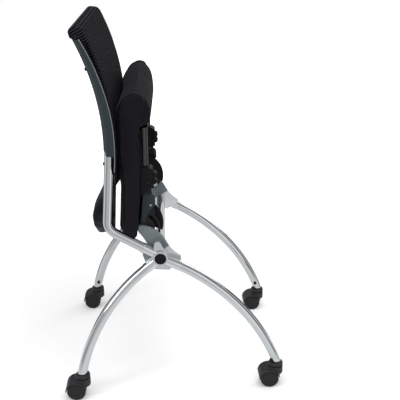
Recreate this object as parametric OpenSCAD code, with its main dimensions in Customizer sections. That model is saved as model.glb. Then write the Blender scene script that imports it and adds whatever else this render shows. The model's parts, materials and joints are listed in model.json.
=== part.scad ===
// Nesting chair: four-caster frame, flip-up seat and mesh back.
// +X is the front, +Y the sitter's left, +Z up; the origin is on the floor.
// The seat is drawn flipped up, and turns forward and down about its pivots.

/* [Stance] */
// Height of the hub and cross tube axis
hub_z = 397; // [370:1:420]
// How far the hub axis lies behind the middle of the chair
hub_back = 38; // [20:1:60]
// Half distance between the tube planes at the hubs
tube_y = 212; // [205:1:230]
// Front caster axis, ahead of the middle
front_reach = 273; // [240:1:300]
// Rear caster axis, behind the middle
rear_reach = 252.5; // [220:1:280]
// Height where the leg tubes end
leg_end_z = 74; // [70:1:84]
// Outward lean of the rear legs
rear_splay = 5.95; // [3:0.05:8]
// Outward lean of the uprights
upright_splay = 1.1; // [0:0.1:2]

/* [Tubes] */
// Outer diameter of the chromed tubes
tube_d = 25; // [22:0.5:28]
// Wall of the chromed tubes
tube_wall = 2; // [1.5:0.25:3]
// Radius of the front legs' curve
front_leg_r = 557; // [480:1:700]
// Radius of the rear legs' curve
rear_leg_r = 517; // [440:1:650]
// Slope of the uprights' lower run
run_slope = 30.6; // [24:0.1:36]
// Radius of the bend at the foot of the upright
bend_r = 39; // [32:1:60]
// Forward lean of the upright's straight run
straight_lean = 4.2; // [1:0.1:7]
// Distance of the straight run's top behind the hub axis
straight_back = 119.4; // [100:0.1:140]
// Height where the upright starts to curve back
curve_z = 650; // [600:1:680]
// Radius of the upright's long curve
curve_r = 605; // [500:1:800]
// Height of the upright's top end on its centreline
upright_top_z = 957; // [900:1:965]

/* [Hub casting] */
// Height of the seat pivot above the hub axis
pivot_rise = 73; // [66:1:82]
// Distance of the seat pivot behind the hub axis
pivot_back = 46; // [40:1:54]
// Radius of the boss round the cross tube
boss_r = 19.5; // [19:0.5:24]
// Thickness of the fin
fin_t = 8; // [6:0.5:10]
// Radius of the arms that meet the tubes
arm_r = 13.7; // [13:0.1:16]
// Length of the front arm
front_arm_len = 56; // [48:1:70]
// Length of the rear arm
rear_arm_len = 46; // [40:1:60]
// Length of the upright's arm
upright_arm_len = 51; // [51:1:66]
// Length of the spigots inside the tubes
spigot_len = 28; // [15:1:40]
// Radius of the black cap
cap_r = 15; // [12:0.5:16]

/* [Seat pivot] */
// Diameter of the pivot pin and stop pin
pin_d = 8; // [6:0.5:10]
// Thickness of the steel bracket
bracket_t = 4; // [3:0.5:6]
// Radius of the stop pin's path round the pivot
stop_r = 38; // [34:0.5:44]
// Travel of the seat from flipped to sitting
fold_travel = 90; // [80:1:95]
// Angle of the stop pin below the pivot, from the front
stop_angle = 36; // [30:1:42]

/* [Seat] */
// Width of the seat pad
seat_w = 444; // [430:1:470]
// Depth of the seat pad
seat_depth = 370; // [340:1:420]
// Height unit of the seat outline, pivot to sitting surface
seat_rise = 50; // [46:1:60]
// How far the middle of the pad rises over its seams
seat_crown = 5; // [2:0.5:6]
// Thickness of the seat board
board_t = 10; // [8:0.5:12]
// Diameter of the seat rails
rail_d = 19; // [16:0.5:22]

/* [Back] */
// Width of the back frame
back_w = 476; // [460:1:500]
// Height of the back frame's top edge
back_top_z = 977; // [974:1:1000]
// Height of the back frame's bottom edge
back_low_z = 620; // [600:1:660]
// Width of the back frame's rim at the sides
rim_w = 26; // [20:1:34]
// Thickness of the back frame
rim_t = 3.2; // [2.5:0.1:4]
// Radius of the back frame's corners
back_corner_r = 24; // [12:1:40]
// Pitch of the mesh ribs
rib_pitch = 9; // [7:0.5:14]
// Rearward bulge of the lower back shell
lumbar_bulge = 71; // [50:1:80]

/* [Casters] */
// Diameter of the caster wheels
wheel_d = 50; // [46:1:56]
// Width of one wheel
wheel_w = 16; // [14:0.5:17]
// Distance of the axle behind the swivel axis
trail = 17.5; // [14:0.5:22]
// Width of the hood
hood_w = 52; // [50:1:60]
// Diameter of the swivel stem
stem_d = 10; // [8:0.5:11]
// Diameter of the wheel axle
axle_d = 6; // [5:0.5:8]

/* [Hidden] */
$fn = 48;
FN = 48;
SWEEP_FN = 360;
SIDES = ["left", "right"];

// Clearances: running fit, push fit, loose gap and cutting overrun
run_fit = 0.05;
push_fit = 0.2;
gap = 0.3;
over = 1;
far = 2000;

CHROME = [0.78, 0.79, 0.80];
CAST = [0.55, 0.56, 0.56];
BLACK = [0.07, 0.07, 0.08];
TEAL = [0.20, 0.25, 0.26];
STEEL = [0.6, 0.6, 0.6];
NYLON = [0.85, 0.84, 0.78];
WOOD = [0.70, 0.58, 0.40];

// Plane helpers: children drawn in X and Z become plates, arcs and bars across Y
module plate(y1, y2) {
    translate([0, y2, 0]) rotate([90, 0, 0]) linear_extrude(y2 - y1) children();
}
module across(x, z, y1, y2, r) {
    translate([x, y1, z]) rotate([-90, 0, 0]) cylinder(r = r, h = y2 - y1);
}
module arc_sweep(c, a1, a2) {
    translate([c[0], 0, c[1]]) rotate([90, 0, 0]) rotate([0, 0, a1])
        rotate_extrude(angle = a2 - a1, $fn = SWEEP_FN) children();
}
module tube_plane(splay) {
    translate([0, tube_y, hub_z]) rotate([-splay, 0, 0]) translate([0, 0, -hub_z]) children();
}
module mirrored(side) {
    mirror([0, side == "right" ? 1 : 0, 0]) children();
}
// Two circles and the straight flanks that touch both
module teardrop(r1, c2, r2) {
    d = norm(c2);
    b = atan2(c2[1], c2[0]);
    a = acos((r1 - r2) / d);
    circle(r1);
    translate(c2) circle(r2);
    polygon([
        [r1 * cos(b + a), r1 * sin(b + a)],
        [r1 * cos(b - a), r1 * sin(b - a)],
        [c2[0] + r2 * cos(b - a), c2[1] + r2 * sin(b - a)],
        [c2[0] + r2 * cos(b + a), c2[1] + r2 * sin(b + a)]
    ]);
}
function dir(a) = [cos(a), sin(a)];
function angle_of(v) = atan2(v[1], v[0]);
function cross2(a, b) = a[0] * b[1] - a[1] * b[0];
// Centre of an arc of radius r through p and q; turn is 1 or -1 for its side
function arc_centre(p, q, r, turn) =
    let (d = norm(q - p), n = [p[1] - q[1], q[0] - p[0]] / d)
    (p + q) / 2 + turn * sqrt(r * r - d * d / 4) * n;
function bezier(p, t) =
    (1 - t) ^ 3 * p[0] + 3 * (1 - t) ^ 2 * t * p[1] + 3 * (1 - t) * t ^ 2 * p[2] + t ^ 3 * p[3];
function bezier_points(p, n) = [for (i = [0:n]) bezier(p, i / n)];
// Angle in degrees of a length along an arc
function arc_angle(len, r) = len / r * 180 / PI;

tube_r = tube_d / 2;
bore_r = tube_r - tube_wall;
spigot_r = bore_r - push_fit;
hub = [-hub_back, hub_z];
pivot = hub + [-pivot_back, pivot_rise];
pin_r = pin_d / 2;
stop = pivot + stop_r * dir(-stop_angle);

// Stack of the seat hinge, outward from the middle
fin_in = tube_y - 14;
fin_out = fin_in + fin_t;
bush_flange_t = 1.6;
bracket_out = fin_in - bush_flange_t - gap;
bracket_in = bracket_out - bracket_t;
pin_head_t = 3.5;
pin_head_r = 7;
pin_in = bracket_in - gap - pin_head_t;
pin_depth = 6;
bush_wall = 1;
bush_r = pin_r + run_fit + bush_wall;
boss_out = tube_y + 18;
boss_in = fin_in - 1;

// Legs: both curves leave the hub a little below its axis
leg_drop = 5;
leg_root = hub - [0, leg_drop];
rear_run = (hub_z - leg_end_z) / cos(rear_splay);
rear_y = tube_y + (hub_z - leg_end_z) * tan(rear_splay);
front_end = [front_reach, leg_end_z];
rear_end = [-rear_reach, hub_z - rear_run];
front_c = arc_centre(leg_root, front_end, front_leg_r, -1);
rear_c = arc_centre(leg_root, rear_end, rear_leg_r, 1);
front_a0 = angle_of(leg_root - front_c);
front_a1 = front_a0 - arc_angle(front_arm_len, front_leg_r);
front_a2 = angle_of(front_end - front_c);
rear_a0 = angle_of(leg_root - rear_c);
rear_a1 = rear_a0 + arc_angle(rear_arm_len, rear_leg_r);
rear_a2 = angle_of(rear_end - rear_c);
front_spigot = arc_angle(spigot_len, front_leg_r);
rear_spigot = arc_angle(spigot_len, rear_leg_r);

// Upright: slanted run, bend, straight run and long curve in one plane
run_a = 180 - run_slope;
up_a = 90 - straight_lean;
curve_foot = [-hub_back - straight_back, curve_z];
corner_s = cross2(curve_foot - hub, dir(up_a)) / cross2(dir(run_a), dir(up_a));
corner = hub + corner_s * dir(run_a);
bend_tan = bend_r * tan((run_a - up_a) / 2);
bend_start = corner - bend_tan * dir(run_a);
bend_end = corner + bend_tan * dir(up_a);
bend_c = bend_start + bend_r * dir(run_a - 90);
back_c = curve_foot + curve_r * dir(up_a + 90);
function curve_angle(z) = asin((z - back_c[1]) / curve_r);
top_a = curve_angle(upright_top_z);

// Hub: fin, pad, boss and the three arms
fin_head = pivot_rise + 9;
fin_tail = [-pivot_back - 9, fin_head];
module fin_outline() {
    h = pivot_rise;
    translate(hub) polygon(concat(
        bezier_points([fin_tail, [-0.34 * h, 1.17 * h], [0.03 * h, 0.90 * h], [0.23 * h, 0.48 * h]], 12),
        bezier_points([[0.23 * h, 0.48 * h], [0.33 * h, 0.27 * h], [0.52 * h, 0.05 * h], [0.73 * h, -0.06 * h]], 8),
        [[0.73 * h, -0.20 * h], [0, -0.40 * h], [-0.50 * h, -0.42 * h], [-0.50 * h, 0]],
        bezier_points([[-0.33 * h, 0.19 * h], [-0.44 * h, 0.44 * h], [-0.57 * h, 0.71 * h], [-0.75 * h, 0.90 * h]], 8)
    ));
}
module leg_bar(c, r, a1, a2, bar_r) {
    arc_sweep(c, min(a1, a2), max(a1, a2)) translate([r, 0]) circle(bar_r, $fn = FN);
}
module run_bar(s1, s2, bar_r) {
    translate([hub[0], 0, hub[1]]) rotate([0, 90 - run_a, 0]) translate([0, 0, s1]) cylinder(r = bar_r, h = s2 - s1);
}
bolt_r = 4;
bolt_head_r = 6.5;
bolt_head_t = 5;
bore_end = tube_y;
wall_end = bore_end + 6;
cap_t = 5;
cap_seat = 3;
web_out = tube_y + 7;
pad_out = tube_y + 11;
pad_tip_shares = [-0.09, 0.50];
pad_tip_r = 9;
pad_step = 0.6;
module hub_casting() {
    difference() {
        union() {
            across(hub[0], hub[1], boss_in, boss_out, boss_r);
            plate(fin_in, fin_out) fin_outline();
            plate(fin_out - over, web_out) translate(hub) polygon([
                [0.70, -0.13] * pivot_rise, [0, 0.1] * pivot_rise, [-0.42, 0.38] * pivot_rise,
                [-0.62, 0.12] * pivot_rise, [-0.46, -0.40] * pivot_rise, [-0.2, -0.46] * pivot_rise,
                [0.3, -0.50] * pivot_rise
            ]);
            plate(fin_out - over, pad_out) translate(hub)
                teardrop(boss_r - pad_step, pad_tip_shares * pivot_rise, pad_tip_r);
            tube_plane(0) leg_bar(front_c, front_leg_r, front_a1, front_a0, arm_r);
            tube_plane(0) leg_bar(front_c, front_leg_r, front_a1 - front_spigot, front_a1 + 1, spigot_r);
            tube_plane(-rear_splay) leg_bar(rear_c, rear_leg_r, rear_a0, rear_a1, arm_r);
            tube_plane(-rear_splay) leg_bar(rear_c, rear_leg_r, rear_a1 - 1, rear_a1 + rear_spigot, spigot_r);
            tube_plane(upright_splay) run_bar(0, upright_arm_len, arm_r);
            tube_plane(upright_splay) run_bar(upright_arm_len - over, upright_arm_len + spigot_len, spigot_r);
        }
        across(hub[0], hub[1], boss_in - over, bore_end, tube_r + run_fit);
        across(hub[0], hub[1], boss_in, boss_out, bolt_r + run_fit);
        across(hub[0], hub[1], wall_end, boss_out + over, bolt_head_r + 2);
        across(hub[0], hub[1], boss_out - cap_seat, boss_out + over, cap_r + push_fit);
        across(pivot[0], pivot[1], fin_in - over, fin_in + pin_depth, pin_r);
        across(stop[0], stop[1], fin_in - over, fin_in + pin_depth, pin_r);
    }
}
module hub_left() { color(CAST) hub_casting(); }
module hub_right() { color(CAST) mirrored("right") hub_casting(); }

// Cross tube with a threaded plug in each end
plug_t = 12;
module cross_tube() {
    color(CHROME) difference() {
        across(hub[0], hub[1], -bore_end, bore_end, tube_r);
        across(hub[0], hub[1], -bore_end + plug_t, bore_end - plug_t, bore_r);
        across(hub[0], hub[1], -bore_end - over, bore_end + over, bolt_r + run_fit);
    }
}
module hub_bolts() {
    color(STEEL) for (side = SIDES) mirrored(side) {
        across(hub[0], hub[1], bore_end - plug_t, wall_end, bolt_r);
        difference() {
            across(hub[0], hub[1], wall_end, wall_end + bolt_head_t, bolt_head_r);
            translate([hub[0], wall_end + bolt_head_t / 2, hub[1]]) rotate([-90, 0, 0])
                cylinder(r = bolt_r, h = bolt_head_t, $fn = 6);
        }
    }
}
cap_dish = 1.2;
module hub_cap() {
    rim = boss_out - cap_seat;
    color(BLACK) translate([hub[0], rim, hub[1]]) rotate([-90, 0, 0]) rotate_extrude() polygon([
        [0, 0], [cap_r, 0], [cap_r, cap_t - cap_dish], [cap_r - cap_dish, cap_t],
        [cap_r * 0.6, cap_t], [cap_r * 0.5, cap_t - cap_dish / 2], [0, cap_t - cap_dish / 2]
    ]);
}
module hub_cap_left() hub_cap();
module hub_cap_right() mirrored("right") hub_cap();

// Legs: swept tubes cut level at the casters, drilled for the stops
stop_up = 22;
nub_r = 5;
nub_stem_r = 2.5;
nub_t = 5;
function on_arc(c, r, a) = c + r * dir(a);
front_nub = on_arc(front_c, front_leg_r, front_a2 + arc_angle(stop_up, front_leg_r));
rear_nub = on_arc(rear_c, rear_leg_r, rear_a2 - arc_angle(stop_up, rear_leg_r));
module below(z) {
    translate([-far / 2, -far / 2, z - far]) cube([far, far, far]);
}
module front_leg_tube() {
    a = arc_angle(tube_d, front_leg_r);
    color(CHROME) difference() {
        tube_plane(0) leg_bar(front_c, front_leg_r, front_a2 - a, front_a1, tube_r);
        tube_plane(0) leg_bar(front_c, front_leg_r, front_a2 - 2 * a, front_a1 + a, bore_r);
        tube_plane(0) across(front_nub[0], front_nub[1], -tube_d, 0, nub_stem_r + push_fit);
        below(leg_end_z);
    }
}
module rear_leg_tube() {
    a = arc_angle(tube_d, rear_leg_r);
    color(CHROME) difference() {
        tube_plane(-rear_splay) leg_bar(rear_c, rear_leg_r, rear_a1, rear_a2 + a, tube_r);
        tube_plane(-rear_splay) leg_bar(rear_c, rear_leg_r, rear_a1 - a, rear_a2 + 2 * a, bore_r);
        tube_plane(-rear_splay) across(rear_nub[0], rear_nub[1], -tube_d, 0, nub_stem_r + push_fit);
        below(leg_end_z);
    }
}
module front_leg_left() front_leg_tube();
module front_leg_right() mirrored("right") front_leg_tube();
module rear_leg_left() rear_leg_tube();
module rear_leg_right() mirrored("right") rear_leg_tube();
module nub(p) {
    across(p[0], p[1], -tube_r, -bore_r + tube_wall / 2, nub_stem_r);
    translate([p[0], -tube_r, p[1]]) rotate([90, 0, 0]) rotate_extrude() polygon([
        [0, 0], [nub_r, 0], [nub_r, nub_t * 0.6], [nub_r * 0.7, nub_t], [0, nub_t]
    ]);
}
module leg_stops() {
    color(BLACK) for (side = SIDES) mirrored(side) {
        tube_plane(0) nub(front_nub);
        tube_plane(-rear_splay) nub(rear_nub);
    }
}

// Sockets in the leg ends, bored upright for the stems
socket_low_z = leg_end_z - 14;
plug_len = 16;
stem_r = stem_d / 2;
stem_up = 23;
module socket(c, r, a1, a2, splay, x, y) {
    color(BLACK) difference() {
        union() {
            difference() {
                tube_plane(splay) leg_bar(c, r, a1, a2, spigot_r);
                below(leg_end_z);
            }
            translate([x, y, socket_low_z]) cylinder(r = tube_r, h = leg_end_z - socket_low_z);
        }
        translate([x, y, socket_low_z - over]) cylinder(r = stem_r + run_fit, h = stem_up + over + gap);
    }
}
module front_socket() {
    a = arc_angle(plug_len, front_leg_r);
    socket(front_c, front_leg_r, front_a2 - a, front_a2 + a, 0, front_reach, tube_y);
}
module rear_socket() {
    a = arc_angle(plug_len, rear_leg_r);
    socket(rear_c, rear_leg_r, rear_a2 - a, rear_a2 + a, -rear_splay, -rear_reach, rear_y);
}
module front_left_socket() front_socket();
module front_right_socket() mirrored("right") front_socket();
module rear_left_socket() rear_socket();
module rear_right_socket() mirrored("right") rear_socket();

// Uprights, drilled for the back's screws
screw_r = 2;
screw_head_r = 4;
screw_head_t = 2.5;
rim_foot_a = curve_angle(back_low_z + 30);
rim_head_a = curve_angle(back_top_z - 90);
sleeve_wall = 1;
sleeve_r = tube_r + 0.1 + sleeve_wall;
rim_r = curve_r + sleeve_r + push_fit;
lumbar_z = [505, 590];
module back_drills(r) {
    tube_plane(upright_splay) for (a = [rim_foot_a, rim_head_a])
        translate([back_c[0], 0, back_c[1]]) rotate([0, 90 - a, 0]) translate([0, 0, curve_r - sleeve_r - over])
            cylinder(r = r, h = 2 * sleeve_r + rim_t * 0.7 + over);
}
function straight_x(z) = curve_foot[0] + (z - curve_z) * tan(straight_lean);
module lumbar_drills(r) {
    tube_plane(upright_splay) for (z = lumbar_z)
        translate([straight_x(z) - tube_d, 0, z]) rotate([0, 90, 0]) cylinder(r = r, h = 2 * tube_d);
}
// Straight stretches run a lap into the bends, which are fuller by a hair
lap = 0.4;
hair = 0.02;
module upright_bar(r, extra) {
    run_bar(upright_arm_len - extra, corner_s - bend_tan + lap, r);
    leg_bar(bend_c, bend_r, up_a + 90, run_a + 90, r + hair);
    translate([bend_end[0], 0, bend_end[1]]) rotate([0, straight_lean, 0]) translate([0, 0, -lap])
        cylinder(r = r, h = norm(curve_foot - bend_end) + 2 * lap);
    leg_bar(back_c, curve_r, -straight_lean, top_a + arc_angle(extra, curve_r), r + hair);
}
module upright_tube() {
    color(CHROME) difference() {
        tube_plane(upright_splay) upright_bar(tube_r, 0);
        tube_plane(upright_splay) upright_bar(bore_r, over);
        back_drills(screw_r + push_fit);
        lumbar_drills(screw_r + push_fit);
    }
}
module upright_left() upright_tube();
module upright_right() mirrored("right") upright_tube();

// Sleeves over the uprights' tops, with a slanted lower edge and a closed top
sleeve_low_z = 680;
sleeve_slant = 23;
sleeve_cap_t = 3;
module sleeve() {
    low_a = curve_angle(sleeve_low_z - tube_d);
    cap_a = arc_angle(sleeve_cap_t, curve_r);
    gap_a = arc_angle(gap, curve_r);
    foot = on_arc(back_c, curve_r, curve_angle(sleeve_low_z));
    color(TEAL) difference() {
        tube_plane(upright_splay) difference() {
            leg_bar(back_c, curve_r, low_a, top_a + gap_a + cap_a, sleeve_r);
            leg_bar(back_c, curve_r, low_a - 1, top_a + gap_a, sleeve_r - sleeve_wall);
            translate([foot[0], 0, foot[1]]) rotate([0, sleeve_slant, 0])
                translate([-tube_d * 2, -tube_d, -tube_d * 4]) cube([tube_d * 4, tube_d * 2, tube_d * 4]);
        }
        back_drills(screw_r + push_fit);
    }
}
module upright_sleeve_left() sleeve();
module upright_sleeve_right() mirrored("right") sleeve();

// Back panel outline seen from the front, pushed through along X
module rounded_rect(x1, x2, y1, y2, r) {
    translate([x1 + r, y1]) square([x2 - x1 - 2 * r, y2 - y1]);
    translate([x1, y1 + r]) square([x2 - x1, y2 - y1 - 2 * r]);
    for (x = [x1 + r, x2 - r], y = [y1 + r, y2 - r]) translate([x, y]) circle(r);
}
module through_x() {
    translate([-far / 2, 0, 0]) rotate([90, 0, 90]) linear_extrude(far) children();
}
module panel_shell(r1, r2, a1, a2) {
    arc_sweep(back_c, a1, a2) translate([r1, -back_w]) square([r2 - r1, 2 * back_w]);
}
rim_low_t = 16;
rim_top_t = 14;
back_half = back_w / 2;
panel_a1 = curve_angle(back_low_z - rim_low_t);
panel_a2 = curve_angle(back_top_z + rim_top_t);
hood_a = top_a + arc_angle(2 * gap + sleeve_cap_t, curve_r);
top_hood_d = 14;
window_r = back_corner_r * 0.6;
module window(inset) {
    rounded_rect(-back_half + rim_w + inset, back_half - rim_w - inset,
        back_low_z + rim_low_t + inset, back_top_z - rim_top_t - inset, window_r);
}
module back_frame() {
    color(BLACK) difference() {
        intersection() {
            union() {
                panel_shell(rim_r, rim_r + rim_t, panel_a1, panel_a2);
                panel_shell(curve_r - top_hood_d, rim_r + rim_t - hair, hood_a, panel_a2 + 0.5);
            }
            difference() {
                through_x() rounded_rect(-back_half, back_half, back_low_z, back_top_z, back_corner_r);
                through_x() window(0);
            }
        }
        for (side = SIDES) mirrored(side) back_drills(screw_r);
    }
}
mesh_t = 1.2;
mesh_rib_r = 1.3;
mesh_set = 0.8;
mesh_inset = 0.2;
module back_mesh() {
    low = back_low_z + rim_low_t;
    high = back_top_z - rim_top_t;
    ribs = floor((high - low - rib_pitch) / rib_pitch);
    half = back_half - rim_w - window_r;
    color(BLACK) {
        intersection() {
            panel_shell(rim_r + mesh_set, rim_r + mesh_set + mesh_t, panel_a1, panel_a2);
            through_x() window(mesh_inset);
        }
        for (i = [1:ribs]) {
            a = curve_angle(low + i * rib_pitch);
            p = on_arc(back_c, rim_r + mesh_set + mesh_t, a);
            across(p[0], p[1], -half, half, mesh_rib_r);
        }
    }
}

// Lower back shell: a sheet that bulges rearward between the uprights
shell_t = 3.5;
shell_half = 200;
shell_top_z = back_low_z - gap;
shell_side_z = 476;
shell_dip = 76;
shell_cols = 16;
bulge_shares = [[0, 0], [0.15, 0.1], [0.35, 0.36], [0.55, 0.68], [0.72, 0.93], [0.84, 1], [0.93, 0.95], [1, 0.8]];
function shell_low(y) = shell_side_z - shell_dip * cos(90 * y / shell_half) ^ 0.8;
function shell_front(z) = z > curve_z ? rim_front(z) : rim_front(curve_z) + (z - curve_z) * tan(straight_lean);
function rim_front(z) = back_c[0] + (rim_r + shell_t) * cos(curve_angle(z));
function shell_point(y, s, depth) =
    let (z = shell_top_z + (shell_low(y) - shell_top_z) * s[0])
    [shell_front(shell_top_z) - (1 - z / shell_top_z) * shell_front_drop
        - lumbar_bulge * s[1] * cos(90 * y / shell_half) ^ 0.7 - depth, y, z];
shell_front_drop = 34;
module sheet(front, back) {
    n = len(front);
    m = len(front[0]);
    pts = concat([for (row = front) for (p = row) p], [for (row = back) for (p = row) p]);
    f = n * m;
    polyhedron(pts, concat(
        [for (i = [0:n - 2]) for (j = [0:m - 2]) each [
            [i * m + j, i * m + j + 1, (i + 1) * m + j + 1],
            [i * m + j, (i + 1) * m + j + 1, (i + 1) * m + j],
            [f + i * m + j, f + (i + 1) * m + j + 1, f + i * m + j + 1],
            [f + i * m + j, f + (i + 1) * m + j, f + (i + 1) * m + j + 1]
        ]],
        [for (j = [0:m - 2]) each [
            [j, f + j, f + j + 1], [j, f + j + 1, j + 1],
            [(n - 1) * m + j, f + (n - 1) * m + j + 1, f + (n - 1) * m + j],
            [(n - 1) * m + j, (n - 1) * m + j + 1, f + (n - 1) * m + j + 1]
        ]],
        [for (i = [0:n - 2]) each [
            [i * m, f + (i + 1) * m, f + i * m], [i * m, (i + 1) * m, f + (i + 1) * m],
            [i * m + m - 1, f + i * m + m - 1, f + (i + 1) * m + m - 1],
            [i * m + m - 1, f + (i + 1) * m + m - 1, (i + 1) * m + m - 1]
        ]]
    ));
}
tab_w = 22;
tab_h = 24;
tab_t = 3.5;
tab_in = 8;
function tab_x(z) = straight_x(z + tab_h / 2) + tube_r / cos(straight_lean) + gap;
module lumbar_shell() {
    ys = [for (j = [0:shell_cols]) -shell_half + 2 * shell_half * j / shell_cols];
    color(BLACK) {
        sheet([for (s = bulge_shares) [for (y = ys) shell_point(y, s, 0)]],
            [for (s = bulge_shares) [for (y = ys) shell_point(y, s, shell_t)]]);
        for (side = SIDES, z = lumbar_z) mirrored(side)
            translate([tab_x(z), shell_half - tab_in, z - tab_h / 2]) cube([tab_t, tab_w + tab_in, tab_h]);
    }
}
screw_len = 2 * sleeve_r + rim_t * 0.6;
module back_screws() {
    color(STEEL) for (side = SIDES) mirrored(side) tube_plane(upright_splay) {
        for (a = [rim_foot_a, rim_head_a]) translate([back_c[0], 0, back_c[1]]) rotate([0, 90 - a, 0]) {
            r0 = curve_r - (a == rim_foot_a ? tube_r : sleeve_r) - push_fit;
            translate([0, 0, r0 - screw_head_t]) cylinder(r = screw_head_r, h = screw_head_t);
            translate([0, 0, r0]) cylinder(r = screw_r, h = curve_r - sleeve_r + screw_len - r0);
        }
    }
}

// Seat parts are drawn lying down from the pivot: u forward, w up
module seat_up() {
    translate([pivot[0], 0, pivot[1]]) rotate([0, -90, 0]) children();
}
seat_half = seat_w / 2;
// Points of the side outline, as shares of seat depth and seat rise
top_seam_shares = [
    [-0.023, 0.54], [-0.010, 0.70], [0.016, 0.82], [0.068, 0.86], [0.162, 0.84], [0.303, 0.81],
    [0.422, 0.88], [0.527, 0.95], [0.608, 0.98], [0.703, 0.99], [0.795, 0.98], [0.859, 0.92],
    [0.908, 0.80], [0.941, 0.58], [0.957, 0.32], [0.962, 0.06]
];
low_seam_shares = [
    [-0.034, 0.42], [-0.030, 0.34], [-0.008, 0.27], [0.038, 0.18], [0.127, 0.06], [0.243, -0.02],
    [0.384, -0.06], [0.524, -0.06], [0.608, -0.02], [0.665, 0.03], [0.724, 0.00], [0.784, -0.06],
    [0.835, -0.12], [0.878, -0.22], [0.922, -0.32], [0.951, -0.24]
];
pocket_shares = [
    [-0.032, 0.38], [-0.008, 0.35], [-0.0065, 0.556], [0.05, 0.556], [0.15, 0.556], [0.26, 0.556],
    [0.38, 0.556], [0.52, 0.556], [0.62, 0.556], [0.725, 0.556], [0.728, -0.26], [0.752, -0.42],
    [0.786, -0.54], [0.830, -0.58], [0.881, -0.52], [0.927, -0.34]
];
function seat_points(shares) = [for (s = shares) [s[0] * seat_depth, s[1] * seat_rise]];
top_seam = seat_points(top_seam_shares);
low_seam = seat_points(low_seam_shares);
pocket = seat_points(pocket_shares);
seat_mid = [0.45 * seat_depth, 0.4 * seat_rise];
panel_in = 4;
skirt_t = 14;
front_bow = 10;
// Crown and bow at a place across the seat, 0 at the seams and 1 in the middle
function swell(y) = 1 - (abs(y) / seat_half) ^ 3;
function crowned(p, i, y) =
    [p[0] + front_bow * swell(y) * max(0, i - 9) / 6, p[1] + seat_crown * 0.8 * swell(y) * sin(180 * i / 15) ^ 0.4];
function seat_ring(y, low, inset) =
    let (top = [for (i = [0:15]) crowned(top_seam[i], i, y)],
        under = [for (i = [0:15]) [low[i][0] + front_bow * swell(y) * max(0, i - 9) / 6, low[i][1]]],
        all = concat(top, [for (i = [15:-1:0]) under[i]]))
    [for (p = all) let (q = p + (seat_mid - p) * inset) [q[0], y, q[1]]];
pocket_y = seat_half - skirt_t;
cushion_rings = concat(
    [seat_ring(-seat_half + panel_in, low_seam, 0.12), seat_ring(-seat_half, low_seam, 0),
        seat_ring(-seat_half + panel_in * 2, low_seam, 0), seat_ring(-pocket_y - over, low_seam, 0)],
    [for (k = [-pocket_y, -170, -120, -60, 0, 60, 120, 170, pocket_y]) seat_ring(k, pocket, 0)],
    [seat_ring(pocket_y + over, low_seam, 0), seat_ring(seat_half - panel_in * 2, low_seam, 0),
        seat_ring(seat_half, low_seam, 0), seat_ring(seat_half - panel_in, low_seam, 0.12)]
);
module seat_cushion() {
    rings = cushion_rings;
    n = len(rings);
    m = len(rings[0]);
    h = m / 2;
    color(BLACK) seat_up() polyhedron([for (r = rings) for (p = r) p], concat(
        [for (i = [0:n - 2]) for (j = [0:m - 1]) each [
            [i * m + j, (i + 1) * m + (j + 1) % m, i * m + (j + 1) % m],
            [i * m + j, (i + 1) * m + j, (i + 1) * m + (j + 1) % m]
        ]],
        [for (j = [0:h - 2]) each [
            [j, j + 1, m - 2 - j], [j, m - 2 - j, m - 1 - j]
        ]],
        [for (j = [0:h - 2]) let (b = (n - 1) * m) each [
            [b + j, b + m - 2 - j, b + j + 1], [b + j, b + m - 1 - j, b + m - 2 - j]
        ]]
    ));
}
board_top = 0.556 * seat_rise - gap;
board_low = board_top - board_t;
board_rear = -0.0065 * seat_depth + gap;
board_front = 0.725 * seat_depth - gap;
board_half = pocket_y - 2 * gap;
module seat_board() {
    color(WOOD) seat_up() translate([board_rear, -board_half, board_low])
        cube([board_front - board_rear, 2 * board_half, board_t]);
}
// Underside pan with ribs inside and saddles for the rails
rail_r = rail_d / 2;
rail_y = bracket_in - rail_r - 0.1;
rail_w = -rail_r - 1.5;
rail_u1 = 0.26 * seat_depth;
rail_u2 = 0.71 * seat_depth;
pan_half = bracket_in - 4;
pan_top = board_low - 0.1;
pan_wall = 2.5;
pan_front = board_front - 2;
saddle_w = 16;
saddle_len = 26;
saddle_shares = [0.52, 0.66];
module seat_shell() {
    rise = seat_rise;
    depth = seat_depth;
    outline = [
        [0.045 * depth, pan_top], [0.045 * depth, pan_top - pan_wall], [0.12 * depth, 0.27 * rise],
        [0.24 * depth, 0.21 * rise], [0.38 * depth, 0.17 * rise], [pan_front, 0.17 * rise], [pan_front, pan_top]
    ];
    color(BLACK) seat_up() {
        difference() {
            union() {
                plate(-pan_half, pan_half) polygon(outline);
                for (y = [-rail_y, rail_y], s = saddle_shares)
                    translate([s * depth - saddle_len / 2, y - saddle_w / 2, rail_w + rail_r * 0.2])
                        cube([saddle_len, saddle_w, 0.2 * rise - rail_w - rail_r * 0.2]);
            }
            translate([0.4 * depth, -pan_half + saddle_w * 2, 0.17 * rise + pan_wall])
                cube([pan_front - pan_wall - 0.4 * depth, 2 * pan_half - saddle_w * 4, rise]);
            for (y = [-rail_y, rail_y]) translate([0, y, rail_w]) rotate([0, 90, 0])
                cylinder(r = rail_r + gap / 2, h = seat_depth);
        }
        for (k = [-2:2]) translate([0.4 * depth, k * pan_half / 4 - pan_wall / 2, 0.17 * rise])
            cube([pan_front - pan_wall - 0.4 * depth, pan_wall, pan_top - 0.17 * rise]);
    }
}
module rail(side) {
    color(CHROME) mirrored(side) seat_up() difference() {
        translate([rail_u1, rail_y, rail_w]) rotate([0, 90, 0]) cylinder(r = rail_r, h = rail_u2 - rail_u1);
        translate([rail_u1 - over, rail_y, rail_w]) rotate([0, 90, 0])
            cylinder(r = rail_r - tube_wall, h = rail_u2 - rail_u1 + 2 * over);
    }
}
module seat_rail_left() rail("left");
module seat_rail_right() rail("right");

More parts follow.
